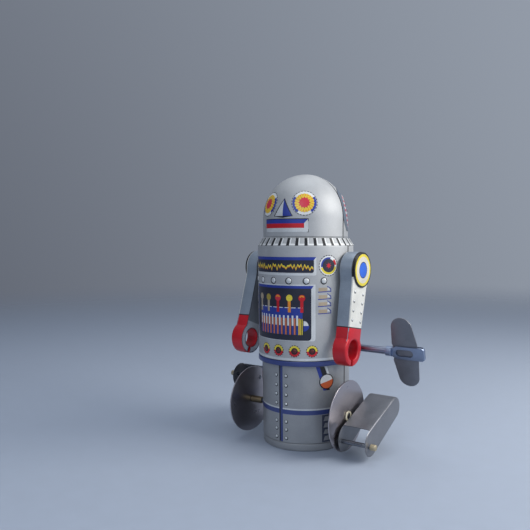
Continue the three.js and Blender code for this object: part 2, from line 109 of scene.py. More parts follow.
# The arm's heights are measured from its shoulder.
ARM_TILTS = {1: 11, -1: 21}  # degrees that each resting arm leans forward
SHOULDER_R = 9
NECK_START = -22  # degrees on the shoulder's round, where the side begins
NECK = [(7.68, -5.4), (7.5, -6.4), (7.36, -7.6), (7.27, -8.9), (7.22, -10.2)]
ARM_WRIST_HALF = 6.3
WRIST_Z = -29
RED_START = -29.2
RED_LINE = 0.5  # the black line above the red
ARM_BEND = 0.9  # of the sheet round the arm's face
CAP_EDGE = -4.5  # the black ring round the shoulder's cap reaches down to here
HAND_Z = -39.9
HAND_R = 8.2
GRIP_R = 5
GRIP_GAP = 1.6

# A shoe is measured from the centre of its toe's round, along to the heel.
TOE_R = 7
HEEL_R = 5.8
HEEL_U = 28.3
PIN_U = -3
PIN_HOLE_R = 0.95
WEB_START = 1
WEB_END = HEEL_U + 3.6
SHOE_SLOPES = {1: 22, -1: -24}  # degrees that each shoe's heel is turned up

KEY_TURN = 17  # degrees that the resting key is turned
KEY_MIDDLE = 55.2
ARBOR_R = 1.8
WINGS_THICK = 0.8
WING_REACH = 18.7
WING_TIP_R = 5.5
WING_HALF = 6.75

# The two sides of the robot are mirror images.
SIDES = {"left": 1, "right": -1}


# ---------- mesh helpers ----------

WELD = 1e-4  # vertices closer than this become one


def polar(cx, cy, r, angle):
    """The point at a distance and an angle, in degrees, from a centre."""
    a = math.radians(angle)
    return (cx + r * math.cos(a), cy + r * math.sin(a))


def arc(cx, cy, r, start, end, steps):
    """Points of an arc, from one angle to another."""
    return [polar(cx, cy, r, start + (end - start) * i / steps) for i in range(steps + 1)]


def circle(cx, cy, r, steps=32):
    return arc(cx, cy, r, 0, 360, steps)[:-1]


def around(turn, r, z):
    """A point on the round body."""
    a = math.radians(turn)
    return Vector((r * math.sin(a), -r * math.cos(a), z))


def linked(name, data):
    """A new object in the scene."""
    thing = bpy.data.objects.new(name, data)
    bpy.context.collection.objects.link(thing)
    return thing


def mesh_object(name, bm, materials, sharp=30, weld=True):
    """Makes a mesh, in millimetres, into an object whose sharp edges stay sharp."""
    if weld:
        bmesh.ops.remove_doubles(bm, verts=bm.verts, dist=WELD)
        bmesh.ops.recalc_face_normals(bm, faces=bm.faces)
    limit = math.radians(sharp)
    for face in bm.faces:
        face.smooth = True
    for edge in bm.edges:
        edge.smooth = len(edge.link_faces) == 2 and edge.calc_face_angle() < limit
    bmesh.ops.scale(bm, vec=(MM, MM, MM), verts=bm.verts)
    mesh = bpy.data.meshes.new(name)
    bm.to_mesh(mesh)
    bm.free()
    for material in materials:
        mesh.materials.append(material)
    return linked(name, mesh)


def bridge(bm, loops, closed=False, index=0):
    """Joins loops of vertices that have the same count."""
    after = loops[1:] + loops[:1] if closed else loops[1:]
    for a, b in zip(loops, after):
        for i in range(len(a)):
            j = (i + 1) % len(a)
            bm.faces.new([a[i], a[j], b[j], b[i]]).material_index = index


def loops_solid(loops, closed=False):
    """A closed solid through loops of points. Its ends are filled, or joined if it is closed."""
    bm = bmesh.new()
    rows = [[bm.verts.new(p) for p in loop] for loop in loops]
    bridge(bm, rows, closed)
    if not closed:
        bm.faces.new(rows[0][::-1])
        bm.faces.new(rows[-1])
    bmesh.ops.remove_doubles(bm, verts=bm.verts, dist=WELD)
    bmesh.ops.recalc_face_normals(bm, faces=bm.faces)
    return bm


def bend(radius, steps=5):
    """Inset and depth along a rounded edge, from the wall to the face."""
    return [(radius - a, b - radius) for a, b in arc(0, 0, radius, 0, 90, steps)]


def bar_solid(y, z, r, x0, x1, edge=0.0, steps=32):
    """A round bar along X, with its edges rounded by edge."""
    inset_and_depth = bend(edge, 6) if edge else [(0, 0)]
    far = [(x1 + depth, r - inset) for inset, depth in inset_and_depth]
    near = [(x0 + x1 - x, rr) for x, rr in far[::-1]]
    return loops_solid([[(x, a, b) for a, b in circle(y, z, rr, steps)] for x, rr in near + far])


def dome(bm, centre, normal, r, height, index=0):
    """Adds a low closed dome to a mesh, with its foot just under the surface."""
    axis = normal.normalized()
    across = axis.orthogonal().normalized()
    other = axis.cross(across)
    rings = [(r, -0.15)] + [(r * a, height * b) for a, b in arc(0, 0, 1, 0, 72, 4)]
    rows = [[bm.verts.new(centre + axis * h + across * a + other * b)
             for a, b in circle(0, 0, rr, 16)] for rr, h in rings]
    faces_before = len(bm.faces)
    bridge(bm, rows)
    bm.faces.new(rows[0][::-1])
    bm.faces.new(rows[-1])
    bm.faces.ensure_lookup_table()
    for face in bm.faces[faces_before:]:
        face.material_index = index


def box_solid(x0, x1, y0, y1, z0, z1):
    low = [(x0, y0, z0), (x1, y0, z0), (x1, y1, z0), (x0, y1, z0)]
    return loops_solid([low, [(x, y, z1) for x, y, _ in low]])


def split(bm, at, normal):
    """Splits the faces of a mesh where a plane runs through them."""
    everything = bm.verts[:] + bm.edges[:] + bm.faces[:]
    bmesh.ops.bisect_plane(bm, geom=everything, plane_co=at, plane_no=normal)


def carve(target, cutters):
    """Cuts closed solids out of a solid. Each is a bmesh, and the target comes back as one."""
    holder = mesh_object("carve", target, [])
    for cutter in cutters:
        tool = mesh_object("cutter", cutter, [])
        modifier = holder.modifiers.new("cut", "BOOLEAN")
        modifier.operation = "DIFFERENCE"
        modifier.solver = "EXACT"
        modifier.object = tool
        graph = bpy.context.evaluated_depsgraph_get()
        cut = bpy.data.meshes.new_from_object(holder.evaluated_get(graph))
        holder.modifiers.clear()
        holder.data = cut
        bpy.data.objects.remove(tool)
    bm = bmesh.new()
    bm.from_mesh(holder.data)
    bpy.data.objects.remove(holder)
    bmesh.ops.scale(bm, vec=(1 / MM,) * 3, verts=bm.verts)
    return bm


def mirror(bm, side):
    """A solid made for the left side, moved to the given side."""
    if side < 0:
        bmesh.ops.scale(bm, vec=(-1, 1, 1), verts=bm.verts)
        bmesh.ops.reverse_faces(bm, faces=bm.faces)
    return bm


def place(bm, turn, at):
    """Turns a solid about X by some degrees, then moves it."""
    move = Matrix.Translation(at) @ Matrix.Rotation(math.radians(turn), 4, "X")
    bmesh.ops.transform(bm, matrix=move, verts=bm.verts)
    return bm


def shown(piece, body, slot, *nodes):
    """Puts a piece on a body and hides the CAD nodes that it stands for. Its slot is not used."""
    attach(piece, body)
    if nodes:
        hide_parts(*nodes)


def show_parts(parts, body, turn=0, at=(0, 0, 0), label=None):
    """Shows a body's solids, which are drawn for the left side, on the side with the label.

    Each is given by its name, mesh, materials, slot and the CAD node that it stands for, if any.
    """
    side, ending = (SIDES[label], "_" + label) if label else (1, "")
    for name, bm, materials, slot, node in parts:
        solid = place(mirror(bm, side), turn, Vector(at))
        nodes = [node + ending] if node else []
        shown(mesh_object(name + ending, solid, materials), body, slot, *nodes)


# ---------- materials ----------

GRAIN_SCALE = 2600  # per metre
PATCH_SCALE = 130
RELIEF = 0.04 * MM
COAT_ROUGHNESS = 0.22


def linear(color):
    """A screen colour, 0 to 255, as a linear one."""
    parts = [c / 255 for c in color]
    return [c / 12.92 if c <= 0.04045 else ((c + 0.055) / 1.055) ** 2.4 for c in parts]


class Tree:
    """A shader tree. An input is given as a number, a colour or another node's output."""

    def __init__(self, owner):
        owner.use_nodes = True
        self.nodes, self.links = owner.node_tree.nodes, owner.node_tree.links

    def fill(self, node, inputs):
        for name, value in inputs.items():
            if isinstance(value, bpy.types.NodeSocket):
                self.links.new(value, node.inputs[name])
            else:
                node.inputs[name].default_value = value

    def add(self, kind, output, inputs, operation=None):
        node = self.nodes.new("ShaderNode" + kind)
        if operation:
            node.operation = operation
        self.fill(node, inputs)
        return node.outputs[output]

    def noise(self, coords, scale, detail):
        inputs = {"Vector": coords, "Scale": scale, "Detail": detail}
        return self.add("TexNoise", "Fac", inputs)

    def spread(self, noise, middle, reach):
        """Maps a noise's middle range onto middle, plus or minus reach."""
        return self.add("MapRange", "Result", {
            "Value": noise, "From Min": 0.3, "From Max": 0.7,
            "To Min": middle - reach, "To Max": middle + reach})


def surface(name, color, metallic, roughness, coat=0.0, grain=0.06, patches=0.08, bump=0.1,
            rough_spread=0.08):
    """A metal or printed surface: mottled colour, uneven gloss and a fine relief."""
    material = bpy.data.materials.new(name)
    tree = Tree(material)
    coords = tree.add("TexCoord", "Object", {})
    fine = tree.noise(coords, GRAIN_SCALE, 2)
    broad = tree.noise(coords, PATCH_SCALE, 4)
    tones = {0: tree.spread(fine, 1, grain), 1: tree.spread(broad, 1, patches)}
    tone = tree.add("Math", "Value", tones, "MULTIPLY")
    relief = {"Strength": bump, "Distance": RELIEF, "Height": fine}
    tree.fill(tree.nodes["Principled BSDF"], {
        "Base Color": tree.add("VectorMath", "Vector", {0: linear(color), "Scale": tone}, "SCALE"),
        "Metallic": metallic,
        "Roughness": tree.spread(broad, roughness, rough_spread),
        "Coat Weight": coat,
        "Coat Roughness": COAT_ROUGHNESS,
        "Normal": tree.add("Bump", "Normal", relief),
    })
    return material


def ink(name, *color):
    """Printing ink on tin, under varnish."""
    return surface(name, color, 0.15, 0.42, coat=0.25, bump=0.06)


def metal(name, color, roughness, **more):
    return surface(name, color, 1.0, roughness, grain=0.04, **more)


SILVER = surface("silver_print", (176, 178, 180), 0.4, 0.58, grain=0.05)
# Painted shade: a darker copy of the silver, with its own gloss, for the skirt and the base, where
# less light falls.
SHADED_SILVER = surface("skirt_silver_painted_shade", (158, 160, 163), 0.45, 0.48, grain=0.05)
SILVER_LIGHT = surface("light_silver", (210, 213, 214), 0.35, 0.45)
ARM_GREY = surface("arm_grey", (144, 155, 168), 0.35, 0.42, coat=0.15)
ARM_WHITE = surface("arm_white", (222, 221, 214), 0.25, 0.42, coat=0.15)
BACK_GREY = surface("arm_back_grey", (150, 154, 162), 0.4, 0.45)
# Painted light: a lighter copy of the back plate's grey, for the hand's part of the plate.
HAND_LIT_GREY = surface("hand_back_painted_light", (214, 218, 224), 0.4, 0.4)
BLUE = ink("blue_ink", 36, 58, 150)
BRIGHT_BLUE = ink("bright_blue_ink", 40, 98, 208)
RED = ink("red_ink", 196, 18, 34)
YELLOW = ink("yellow_ink", 226, 206, 62)
ORANGE = ink("orange_ink", 232, 140, 42)
CREAM = ink("cream_ink", 214, 208, 192)
WHITE = ink("white_ink", 222, 224, 224)
TAN = ink("tan_ink", 176, 160, 136)
SLATE = ink("slate_ink", 66, 70, 88)
NAVY = ink("navy_ink", 34, 37, 54)
BLACK = ink("black_ink", 20, 20, 24)
PINK_RED = ink("pink_ink", 205, 44, 66)
RUST = ink("rust_ink", 204, 98, 58)
SALMON = ink("salmon_ink", 205, 116, 84)
MUSTARD = ink("mustard_ink", 168, 148, 62)
SEAM_DARK = surface("seam_shadow", (26, 26, 30), 0.0, 0.85)
# Painted shade: the grey that fills the ears darkens the back half's upper side beside the seam.
EAR_SHADE_GREY = ink("ear_painted_shade", 92, 102, 116)
MAROON = ink("maroon_ink", 92, 30, 30)
BELT_BLUE = ink("belt_blue_ink", 56, 70, 128)
BARE = metal("bare_tin", (140, 146, 152), 0.34)
STEEL = metal("polished_steel", (132, 136, 144), 0.26, bump=0.04, rough_spread=0.05)
DISC_STEEL = metal("disc_steel", (176, 170, 174), 0.3, bump=0.04, patches=0.03, rough_spread=0.03)
BRASS = metal("dull_brass", (196, 182, 152), 0.4)
SLEEVE_BRASS = metal("sleeve_brass", (150, 136, 108), 0.4)
HUB_CREAM = surface("hub_ring", (214, 206, 180), 0.3, 0.35)
MOTOR_STEEL = metal("motor_steel", (150, 152, 155), 0.3)
MOTOR_BRASS = metal("motor_brass", (190, 158, 92), 0.3)
SPRING = metal("blued_spring", (58, 66, 84), 0.28)
DARK = surface("dark_tin", (118, 120, 126), 0.6, 0.36, coat=0.2, patches=0.12)
KEY_DARK = surface("key_wings_tin", (118, 120, 128), 0.5, 0.42, coat=0.1, patches=0.12)
KEY_STRAP = metal("key_strap_tin", (146, 159, 184), 0.4)
SHAFT_STEEL = metal("shaft_steel", (138, 144, 164), 0.34, bump=0.03, rough_spread=0.03)


# ---------- round shells ----------


def offset_inwards(profile, distance):
    """The profile's points moved to the inside of the shell."""
    moved = []
    for i, (r, z) in enumerate(profile):
        r0, z0 = profile[max(i - 1, 0)]
        r1, z1 = profile[min(i + 1, len(profile) - 1)]
        along = Vector((r1 - r0, z1 - z0)).normalized()
        moved.append((max(r - along.y * distance, 0), z + along.x * distance))
    return moved


def shell(profile, start, end, thickness=SHEET):
    """A shell of revolution from one turn to another. The profile runs upwards on the outside."""
    section = profile + offset_inwards(profile, thickness)[::-1]
    whole = end - start >= 360
    steps = max(1, round((end - start) / TURN_STEP))
    turns = [start + (end - start) * i / steps for i in range(steps + (not whole))]
    return loops_solid([[around(t, r, z) for r, z in section] for t in turns], whole)


def softened(points, radius):
    """A profile whose inner corners are rounded."""
    steps = 4
    out = [points[0]]
    for before, here, after in zip(points, points[1:], points[2:]):
        p = Vector(here)
        a = (Vector(before) - p).normalized() * radius
        b = (Vector(after) - p).normalized() * radius
        for i in range(steps + 1):
            t = i / steps
            out.append(tuple(p + a * (1 - t) ** 2 + b * t**2))
    return out + [points[-1]]


def halves(name, profile, holes=(), skin=SILVER):
    """Front and back half shells. The front one laps over the back one at the sides."""
    front = shell(profile, -FRONT_EDGE, FRONT_EDGE)
    narrower = [(max(r - SEAM_STEP, 0), z) for r, z in profile]
    back = shell(narrower, BACK_EDGE, 360 - BACK_EDGE)
    for half, bm in (("front", front), ("back", back)):
        bm = carve(bm, [bar_solid(*hole) for hole in holes]) if holes else bm
        node = name + "_" + half
        shown(mesh_object(node + "_shell", bm, [skin]), "frame", "tin_silver", node)
    joint = [(r + 0.03, z) for r, z in profile if r > 1]
    for label, side in SIDES.items():
        dark = shell(joint, side * SEAM_TURN - 1, side * SEAM_TURN + 1, SEAM_STEP + 0.1)
        shown(mesh_object(f"{name}_seam_{label}", dark, [SEAM_DARK]), "frame", "tin_silver")


def make_head():
    wall = [(HEAD_R, HEAD_BOTTOM), (HEAD_R, HEAD_DOME)]
    halves("head", wall + arc(0, HEAD_DOME, HEAD_R, 0, 90, 30)[1:])


def make_chest():
    corners = [
        (CHEST_R, CHEST_BOTTOM),
        (CHEST_R, COLLAR_BOTTOM),
        (COLLAR_TOP_R, COLLAR_TOP),
        (COLLAR_TOP_R - 2.6, COLLAR_TOP),
    ]
    outside = CHEST_R + 2
    rod_holes = (SHOULDER.y, SHOULDER.z, ROD_HOLE_R, -outside, outside)
    arbor_hole = (KEY.y, KEY.z, ARBOR_HOLE_R, CHEST_R - 6, outside)
    halves("chest", softened(corners, CORNER_R), [rod_holes, arbor_hole])


def make_waist():
    r, low, high = WAIST_HIGH.x, WAIST_LOW.z, WAIST_HIGH.z
    corners = [(SKIRT_R - 1, low), (r, low), (r, high), (CHEST_R - 1, high)]
    ring = shell(softened(corners, CORNER_R), 0, 360)
    shown(mesh_object("waist_band", ring, [BELT_BLUE]), "frame", "tin_blue", "waist_ring")


def make_skirt():
    profile = [(SKIRT_R, SKIRT_LOW.z), (SKIRT_R, SKIRT_HIGH.z)]
    axle_holes = (CRANK.y, CRANK.z, AXLE_HOLE_R, -SKIRT_R - 2, SKIRT_R + 2)
    # The skirt's silver is the darker copy, which is painted shade.
    halves("skirt", profile, [axle_holes], SHADED_SILVER)


def make_base():
    r, rim, step = PAN_HIGH.x, 4, 0.8
    corners = [(0, 0), (r, 0), (r, rim), (r - step, rim), (r - step, PAN_HIGH.z)]
    pan = shell(softened(corners, 0.7), 0, 360)
    # The base's silver is the darker copy, which is painted shade.
    shown(mesh_object("base_cup", pan, [SHADED_SILVER]), "frame", "tin_silver", "base_pan")


# ---------- printed ink ----------
# A print is drawn flat, as the tin sheet was before it was bent: a place on it is (along, up),
# where along runs round the body from the middle of the front and up is the height.

INK_LIFT = 0.03  # how far each layer of ink stands above the one under it
INK_FOOT = -0.1  # how far its foot reaches into the tin
BEND_STEP = 1.2  # an area is split this often, so that it follows the round body
OFF_CORNERS = 0.37  # of a step, so that no cut runs through an outline's corner
DASH_SHARE = 0.62  # of a dotted ring's pitch


def rect(left, right, low, high):
    return [(left, low), (right, low), (right, high), (left, high)]


def sector(cx, cy, inner, outer, start, end):
    """Part of a ring, from one angle to another."""
    steps = max(2, round(abs(end - start) / 12))
    return arc(cx, cy, outer, start, end, steps) + arc(cx, cy, inner, end, start, steps)


def rounded(left, right, low, high, r):
    """A rectangle whose lower corners are rounded."""
    return [(left, high), *arc(left + r, low + r, r, 180, 270, 6),
            *arc(right - r, low + r, r, 270, 360, 6), (right, high)]


def ribbon(points, width):
    """A line that runs from left to right, as thick as width measured upwards."""
    return [(a, b - width / 2) for a, b in points] + [(a, b + width / 2) for a, b in points[::-1]]


def stroke(points, width):
    """A line of even width with mitred corners."""
    spots = [Vector(p) for p in points]
    left, right = [], []
    for i, spot in enumerate(spots):
        before = (spot - spots[i - 1]).normalized() if i else None
        after = (spots[i + 1] - spot).normalized() if i + 1 < len(spots) else before
        before = before or after
        middle = (before + after).normalized()
        reach = width / 2 / max(middle.dot(after), 0.5)
        side = Vector((-middle.y, middle.x)) * reach
        left.append(tuple(spot + side))
        right.append(tuple(spot - side))
    return left + right[::-1]


def on_wall(r, turn=0):
    """Bends a flat print round a straight wall. Its own middle is at the turn."""
    return lambda along, up, lift: around(turn + math.degrees(along / r), r + lift, up)


def on_collar(along, up, lift):
    """Bends a flat print round the collar's slope. Here along is in degrees."""
    share = (up - COLLAR_BOTTOM) / (COLLAR_TOP - COLLAR_BOTTOM)
    return around(along, CHEST_R + (COLLAR_TOP_R - CHEST_R) * share + lift, up)


def on_head(turn, middle=0, step=0):
    """Bends a flat print round the head's wall and up over the start of its dome.

    Its own middle is at the turn and at the middle's height, a step inside the front's surface.
    """
    def bent(along, up, lift):
        height = middle + up
        rise = max(height - HEAD_DOME, 0) / HEAD_R
        r = HEAD_R + lift
        return around(turn + math.degrees(along / HEAD_R), r * math.cos(rise) - step,
                      min(height, HEAD_DOME) + r * math.sin(rise))
    return bent


def on_dome(turn, height):
    """Lays a flat print on the head's dome, about a place on it."""
    middle = Vector((0, 0, HEAD_DOME))
    across = around(turn + 90, 1, 0)
    reach = math.sqrt(HEAD_R**2 - (height - HEAD_DOME) ** 2)
    out = around(turn, reach, height) - middle
    rise = out.normalized().cross(across)
    return lambda along, up, lift: (
        middle + (out + across * along + rise * up).normalized() * (HEAD_R + lift))


def outward(point):
    """The direction straight out of the round body."""
    if point.z > HEAD_DOME:
        return (point - Vector((0, 0, HEAD_DOME))).normalized()
    out = Vector((point.x, point.y, 0)).normalized()
    if COLLAR_BOTTOM < point.z < COLLAR_TOP:
        out = out * (COLLAR_TOP - COLLAR_BOTTOM) + Vector((0, 0, CHEST_R - COLLAR_TOP_R))
    return out.normalized()


def split_flat(outline):
    """A flat outline as a mesh that is fine enough to be bent, facing up."""
    bm = bmesh.new()
    face = bm.faces.new([bm.verts.new((a, b, 0)) for a, b in outline])
    face.normal_update()
    if face.normal.z < 0:
        face.normal_flip()
    bmesh.ops.triangulate(bm, faces=[face])
    for axis in (0, 1):
        cut = Vector((axis == 0, axis == 1, 0))
        places = [v.co[axis] / BEND_STEP for v in bm.verts]
        for i in range(math.floor(min(places)), math.ceil(max(places)) + 1):
            split(bm, cut * (i + OFF_CORNERS) * BEND_STEP, cut)
    return bm


class Print:
    """Ink areas gathered into one thin mesh that sits on the tin."""

    def __init__(self, name, bent):
        self.name = name
        self.bent = bent
        self.inks = []
        self.bm = bmesh.new()

    def area(self, ink, outline, layer=1):
        if ink not in self.inks:
            self.inks.append(ink)
        index = self.inks.index(ink)
        flat = split_flat(outline)
        top, foot = ({v: self.bm.verts.new(self.bent(v.co.x, v.co.y, lift)) for v in flat.verts}
                     for lift in (layer * INK_LIFT, INK_FOOT))
        for face in flat.faces:
            self.bm.faces.new([top[v] for v in face.verts]).material_index = index
            self.bm.faces.new([foot[v] for v in face.verts][::-1]).material_index = index
        for edge in flat.edges:
            if len(edge.link_faces) == 1:
                a, b = edge.link_loops[0].vert, edge.link_loops[0].link_loop_next.vert
                self.bm.faces.new([top[b], top[a], foot[a], foot[b]]).material_index = index
        flat.free()

    def ring(self, ink, cx, cy, inner, outer, layer):
        for start in (0, 180):
            self.area(ink, sector(cx, cy, inner, outer, start, start + 180), layer)

    def dotted(self, cx, cy, inner, outer, count):
        """A black ring of dashes."""
        step = 360 / count
        for i in range(count):
            self.area(BLACK, sector(cx, cy, inner, outer, i * step, (i + DASH_SHARE) * step))

    def burst(self, ink, cx, cy, inner, outer, points, layer):
        """A star with many points."""
        step = 180 / points
        spots = [polar(cx, cy, inner if i % 2 else outer, i * step) for i in range(2 * points)]
        self.area(ink, spots, layer)

    def finish(self):
        piece = mesh_object(self.name, self.bm, self.inks, weld=False)
        normals = [outward(v.co / MM) for v in piece.data.vertices]
        piece.data.normals_split_custom_set_from_vertices(normals)
        shown(piece, "frame", "tin_silver")


EYE_R = 6.2
EYE_Z = 124.6
EYE_TURN = 29
EYE_RAYS = 20
IRIS_R = 4.7
FACE_TURN = 2.6  # the whole face is printed this far round to the robot's left


def print_eye(name, turn):
    """A round eye with a sunburst in it."""
    eye = Print(name, on_dome(turn, EYE_Z))
    eye.dotted(0, 0, EYE_R - 0.1, EYE_R + 0.4, 26)
    eye.area(WHITE, circle(0, 0, EYE_R), 2)
    for start, end in ((-52, 34), (146, 234)):
        eye.area(BLUE, sector(0, 0, IRIS_R - 0.5, EYE_R - 0.1, start, end), 3)
    eye.area(ORANGE, circle(0, 0, IRIS_R), 4)
    for i in range(EYE_RAYS):
        angle = 360 / EYE_RAYS * i
        ray = [polar(0, 0, 2.2, angle + 12), polar(0, 0, IRIS_R + 0.2, angle)]
        eye.area(YELLOW, stroke(ray, 0.7), 5)
    eye.burst(PINK_RED, 0, 0, 2.3, 3.1, 12, 6)
    eye.finish()


def print_face():
    """A two-coloured nose over a wide mouth, and the eyes."""
    face = Print("face_print", on_head(FACE_TURN))
    base, tip, half = 118.3, 126.6, 5
    face.area(BLACK, [(-half - 0.5, base - 0.1), (0, base - 0.9), (half + 0.5, base - 0.1),
                      (0.2, tip + 0.6)])
    ridge = 0.05
    face.area(SILVER_LIGHT, [(-half + 0.2, base), (ridge, base), (ridge, tip - 0.4)], 2)
    face.area(BLUE, [(ridge, base), (half, base), (ridge, tip)], 2)
    left, right, low, high = -12.4, 13, 110.6, 116.7
    face.area(BLACK, rect(left, right + 0.3, high - 1, high + 0.35))
    face.area(BLACK, rect(right - 0.5, right + 0.3, low - 0.2, low + 1.2))
    face.area(SILVER_LIGHT, rect(left, right, low, high), 2)
    face.area(BLUE, [(left, high - 2), (right - 2, high - 2), (right, high), (left, high)], 3)
    face.area(RED, rect(left, right - 1.9, low + 1.9, high - 2), 3)
    face.finish()
    print_eye("left_eye_print", FACE_TURN + EYE_TURN)
    print_eye("right_eye_print", FACE_TURN - EYE_TURN)


def print_collar():
    """Blocks like keys all round the collar, each with a white edge."""
    collar = Print("collar_print", on_collar)
    count = 34
    step = 360 / count
    dark, edge = 0.34 * step, 0.48 * step
    low, high = COLLAR_BOTTOM + 0.35, COLLAR_TOP - 0.35
    for i in range(count):
        at = i * step
        collar.area(BLACK, rect(at, at + dark, low - 0.2, high))
        collar.area(SILVER, rect(at + dark, at + step, low, high))
        collar.area(WHITE, rect(at + dark, at + edge, low, high), 2)
        collar.area(WHITE, rect(at + dark, at + step, low, low + 0.8), 3)
    collar.finish()


POINT = 0.01  # a sector's inner radius where it comes to a point
DIAL_ALONG = 26.1
DIAL_Z = 94.3
LOUVRE_ALONG = 20.8
LOUVRE_ZS = (81.5, 77.9, 74.4, 70.8)
WINDOW_LOW, WINDOW_HIGH = 57.3, 85.2
LAMP_PITCH = 8.8
KNOB_TURN = 3.5  # degrees from the front to the middle of the row of knobs
KNOBS = [math.radians(KNOB_TURN) * CHEST_R + LAMP_PITCH * (i - 2.5) for i in range(6)]
KNOB_Z = 86.9
JEWEL_Z = 52.2
JEWELS = [(LAMP_PITCH * (i - 1), JEWEL_Z) for i in range(4)]
BACK_JEWELS = [(LAMP_PITCH * (i - 2), JEWEL_Z) for i in range(5)]
JEWEL_SIZE = (1.1, 0.4)  # radius and height


def trace(left, right, middle, reach, count):
    """A jagged line like a heart trace, taller in some places than in others."""
    points = []
    for i in range(count + 1):
        swing = reach * (0.2 + 0.8 * math.sin(2.3 * i * i + 0.6) ** 4)
        drift = 0.4 * reach * math.sin(1.3 * i)
        height = middle + drift + (swing if i % 2 else -swing)
        points.append((left + (right - left) * i / count, height))
    return points


def print_wave_panel(chest):
    """A dark screen with a jagged trace, in a blue and white frame."""
    left, right, low, high = -19.7, 19.7, 89.6, 98.5
    border = 1.2
    chest.area(SILVER_LIGHT, rounded(left, right, low, high, 0.8))
    chest.area(BLUE, [(left, high - 1.5), (right - 1.3, high - 1.5), (right, high), (left, high)], 2)
    chest.area(NAVY, rounded(left + 0.3, right - border, low + 1.3, high - 1.5, 1), 3)
    chest.area(ORANGE, ribbon(trace(left + 0.8, right - 1.5, 93.7, 1.4, 44), 0.9), 4)
    chest.area(YELLOW, ribbon(trace(left + 0.8, right - 1.5, 94, 1.5, 44), 0.75), 5)


def print_dial(chest, along, up):
    """A round gauge with a coloured rim and a red mark."""
    inner, r = 3, 4.8
    chest.dotted(along, up, r - 0.1, r + 0.4, 22)
    chest.ring(WHITE, along, up, inner, r, 2)
    chest.area(BLUE, sector(along, up, inner, r - 0.7, 75, 190), 3)
    chest.area(RED, sector(along, up, inner, r - 0.4, 5, 45), 3)
    chest.area(YELLOW, sector(along, up, inner, r - 0.5, 195, 352), 3)
    chest.area(NAVY, circle(along, up, inner + 0.3), 4)
    chest.burst(RED, along, up, 0.7, 1.6, 7, 5)


def print_window(chest, half, left_border, right_border, foot):
    """A big dark window in a pale frame, blue along its top."""
    low, high = WINDOW_LOW, WINDOW_HIGH
    chest.area(SILVER_LIGHT, rounded(-half, half, low, high, 1.2))
    corner = half - right_border
    chest.area(BLUE, [(0.5 - half, high - 2.4), (corner - 0.1, high - 2.4),
                      (corner + 1.2, high - 0.6), (0.5 - half, high - 0.6)], 2)
    chest.area(NAVY, rounded(left_border - half, corner, low + foot, high - 1.9, 1.6), 3)


def print_bars(chest):
    """A blue band over white, blue and orange bars, with stripes at its right end."""
    left, right, high, middle, low = -13.6, 12.9, 74, 65, 60.5
    band_low = 68.5
    chest.area(BLUE, rect(left, right, band_low, high), 4)
    for i in range(8):
        at = left + 0.5 + 3.4 * i
        chest.area(WHITE, rect(at, at + 2.2, high - 0.35, high), 5)
    for i in range(11):
        at = left + 0.4 + 2.3 * i
        chest.area(WHITE, rect(at, at + 0.9, middle, band_low + 1.5), 5)
        chest.area(BLUE, rect(at, at + 0.9, low, middle), 5)
        chest.area(SALMON, rect(at + 1.1, at + 1.9, low, band_low + 0.2), 5)
    for i in range(3):
        at = right - 2 + 0.8 * i
        chest.area(YELLOW, rect(at, at + 0.4, low, band_low - 0.1), 6)
    chest.area(WHITE, sector(right + 0.5, middle, POINT, 2.4, 0, 90), 5)
    chest.area(BLUE, sector(right + 0.5, middle, POINT, 2.8, 270, 360), 5)


def print_lever_panel(chest):
    """A big dark window with levers over a band of coloured bars."""
    half = 19.3
    print_window(chest, half, 0.9, 2.1, 0.3)
    chest.area(BLUE, rect(0.9 - half, 1.4 - half, WINDOW_LOW + 3, WINDOW_HIGH - 2), 4)
    print_bars(chest)
    inks = [(TAN, TAN), (MUSTARD, TAN), (PINK_RED, RED), (YELLOW, ORANGE), (RED, RED)]
    pitch, foot, knob = 6.3, 71.5, 78.6
    for i, (head, stem) in enumerate(inks):
        at = pitch * (i - 2)
        chest.area(stem, rect(at - 0.75, at + 0.75, foot, knob - 0.6), 5)
        chest.area(head, circle(at, knob, 1.65, 20), 6)
        if head in (RED, PINK_RED):
            chest.area(ORANGE, sector(at, knob, 0.6, 1.4, 20, 160), 7)


def print_louvres(chest, side):
    """Slanted slats on one side, each with a blue edge that hooks over at its end."""
    for up in LOUVRE_ZS:
        def at(points):
            return [(side * (LOUVRE_ALONG + a), up + b) for a, b in points]
        chest.area(TAN, at(rect(0, 4.6, 0.2, 2.1)))
        chest.area(WHITE, at([(4.6, 1.1), (6, 1), (5, 2.3)]), 2)
        chest.area(BLUE, at(stroke([(-0.3, 0), (6.6, 0.2), (6.5, 1.5), (4.6, 2.8)], 0.4)), 3)


def print_jewel(chest, along, up):
    """The rim of a round lamp, yellow above and red below."""
    inner, r = 1.4, 2.7
    chest.dotted(along, up, r - 0.1, r + 0.35, 14)
    chest.area(YELLOW, sector(along, up, inner, r, 0, 180), 2)
    chest.area(RED, sector(along, up, inner, r, 180, 360), 2)
    chest.area(BLACK, circle(along, up, inner + 0.3, 20), 3)


def studs(name, r, places, size, material, turn=0):
    """Low pressed domes on the round body."""
    bm = bmesh.new()
    for along, up in places:
        at = around(turn + math.degrees(along / r), r, up)
        dome(bm, at, Vector((at.x, at.y, 0)), *size)
    shown(mesh_object(name, bm, [material], 50), "frame", "tin_silver")


def print_both(chest, r, jewels):
    """What both halves have: dials, slats, lamps and a pale line along the bottom edge."""
    for side in SIDES.values():
        print_dial(chest, side * DIAL_ALONG, DIAL_Z)
        print_louvres(chest, side)
    for along, up in jewels:
        print_jewel(chest, along, up)
    edge = math.pi / 2 * r
    chest.area(SILVER_LIGHT, rect(-edge, edge, CHEST_BOTTOM + 0.2, CHEST_BOTTOM + 1.4))


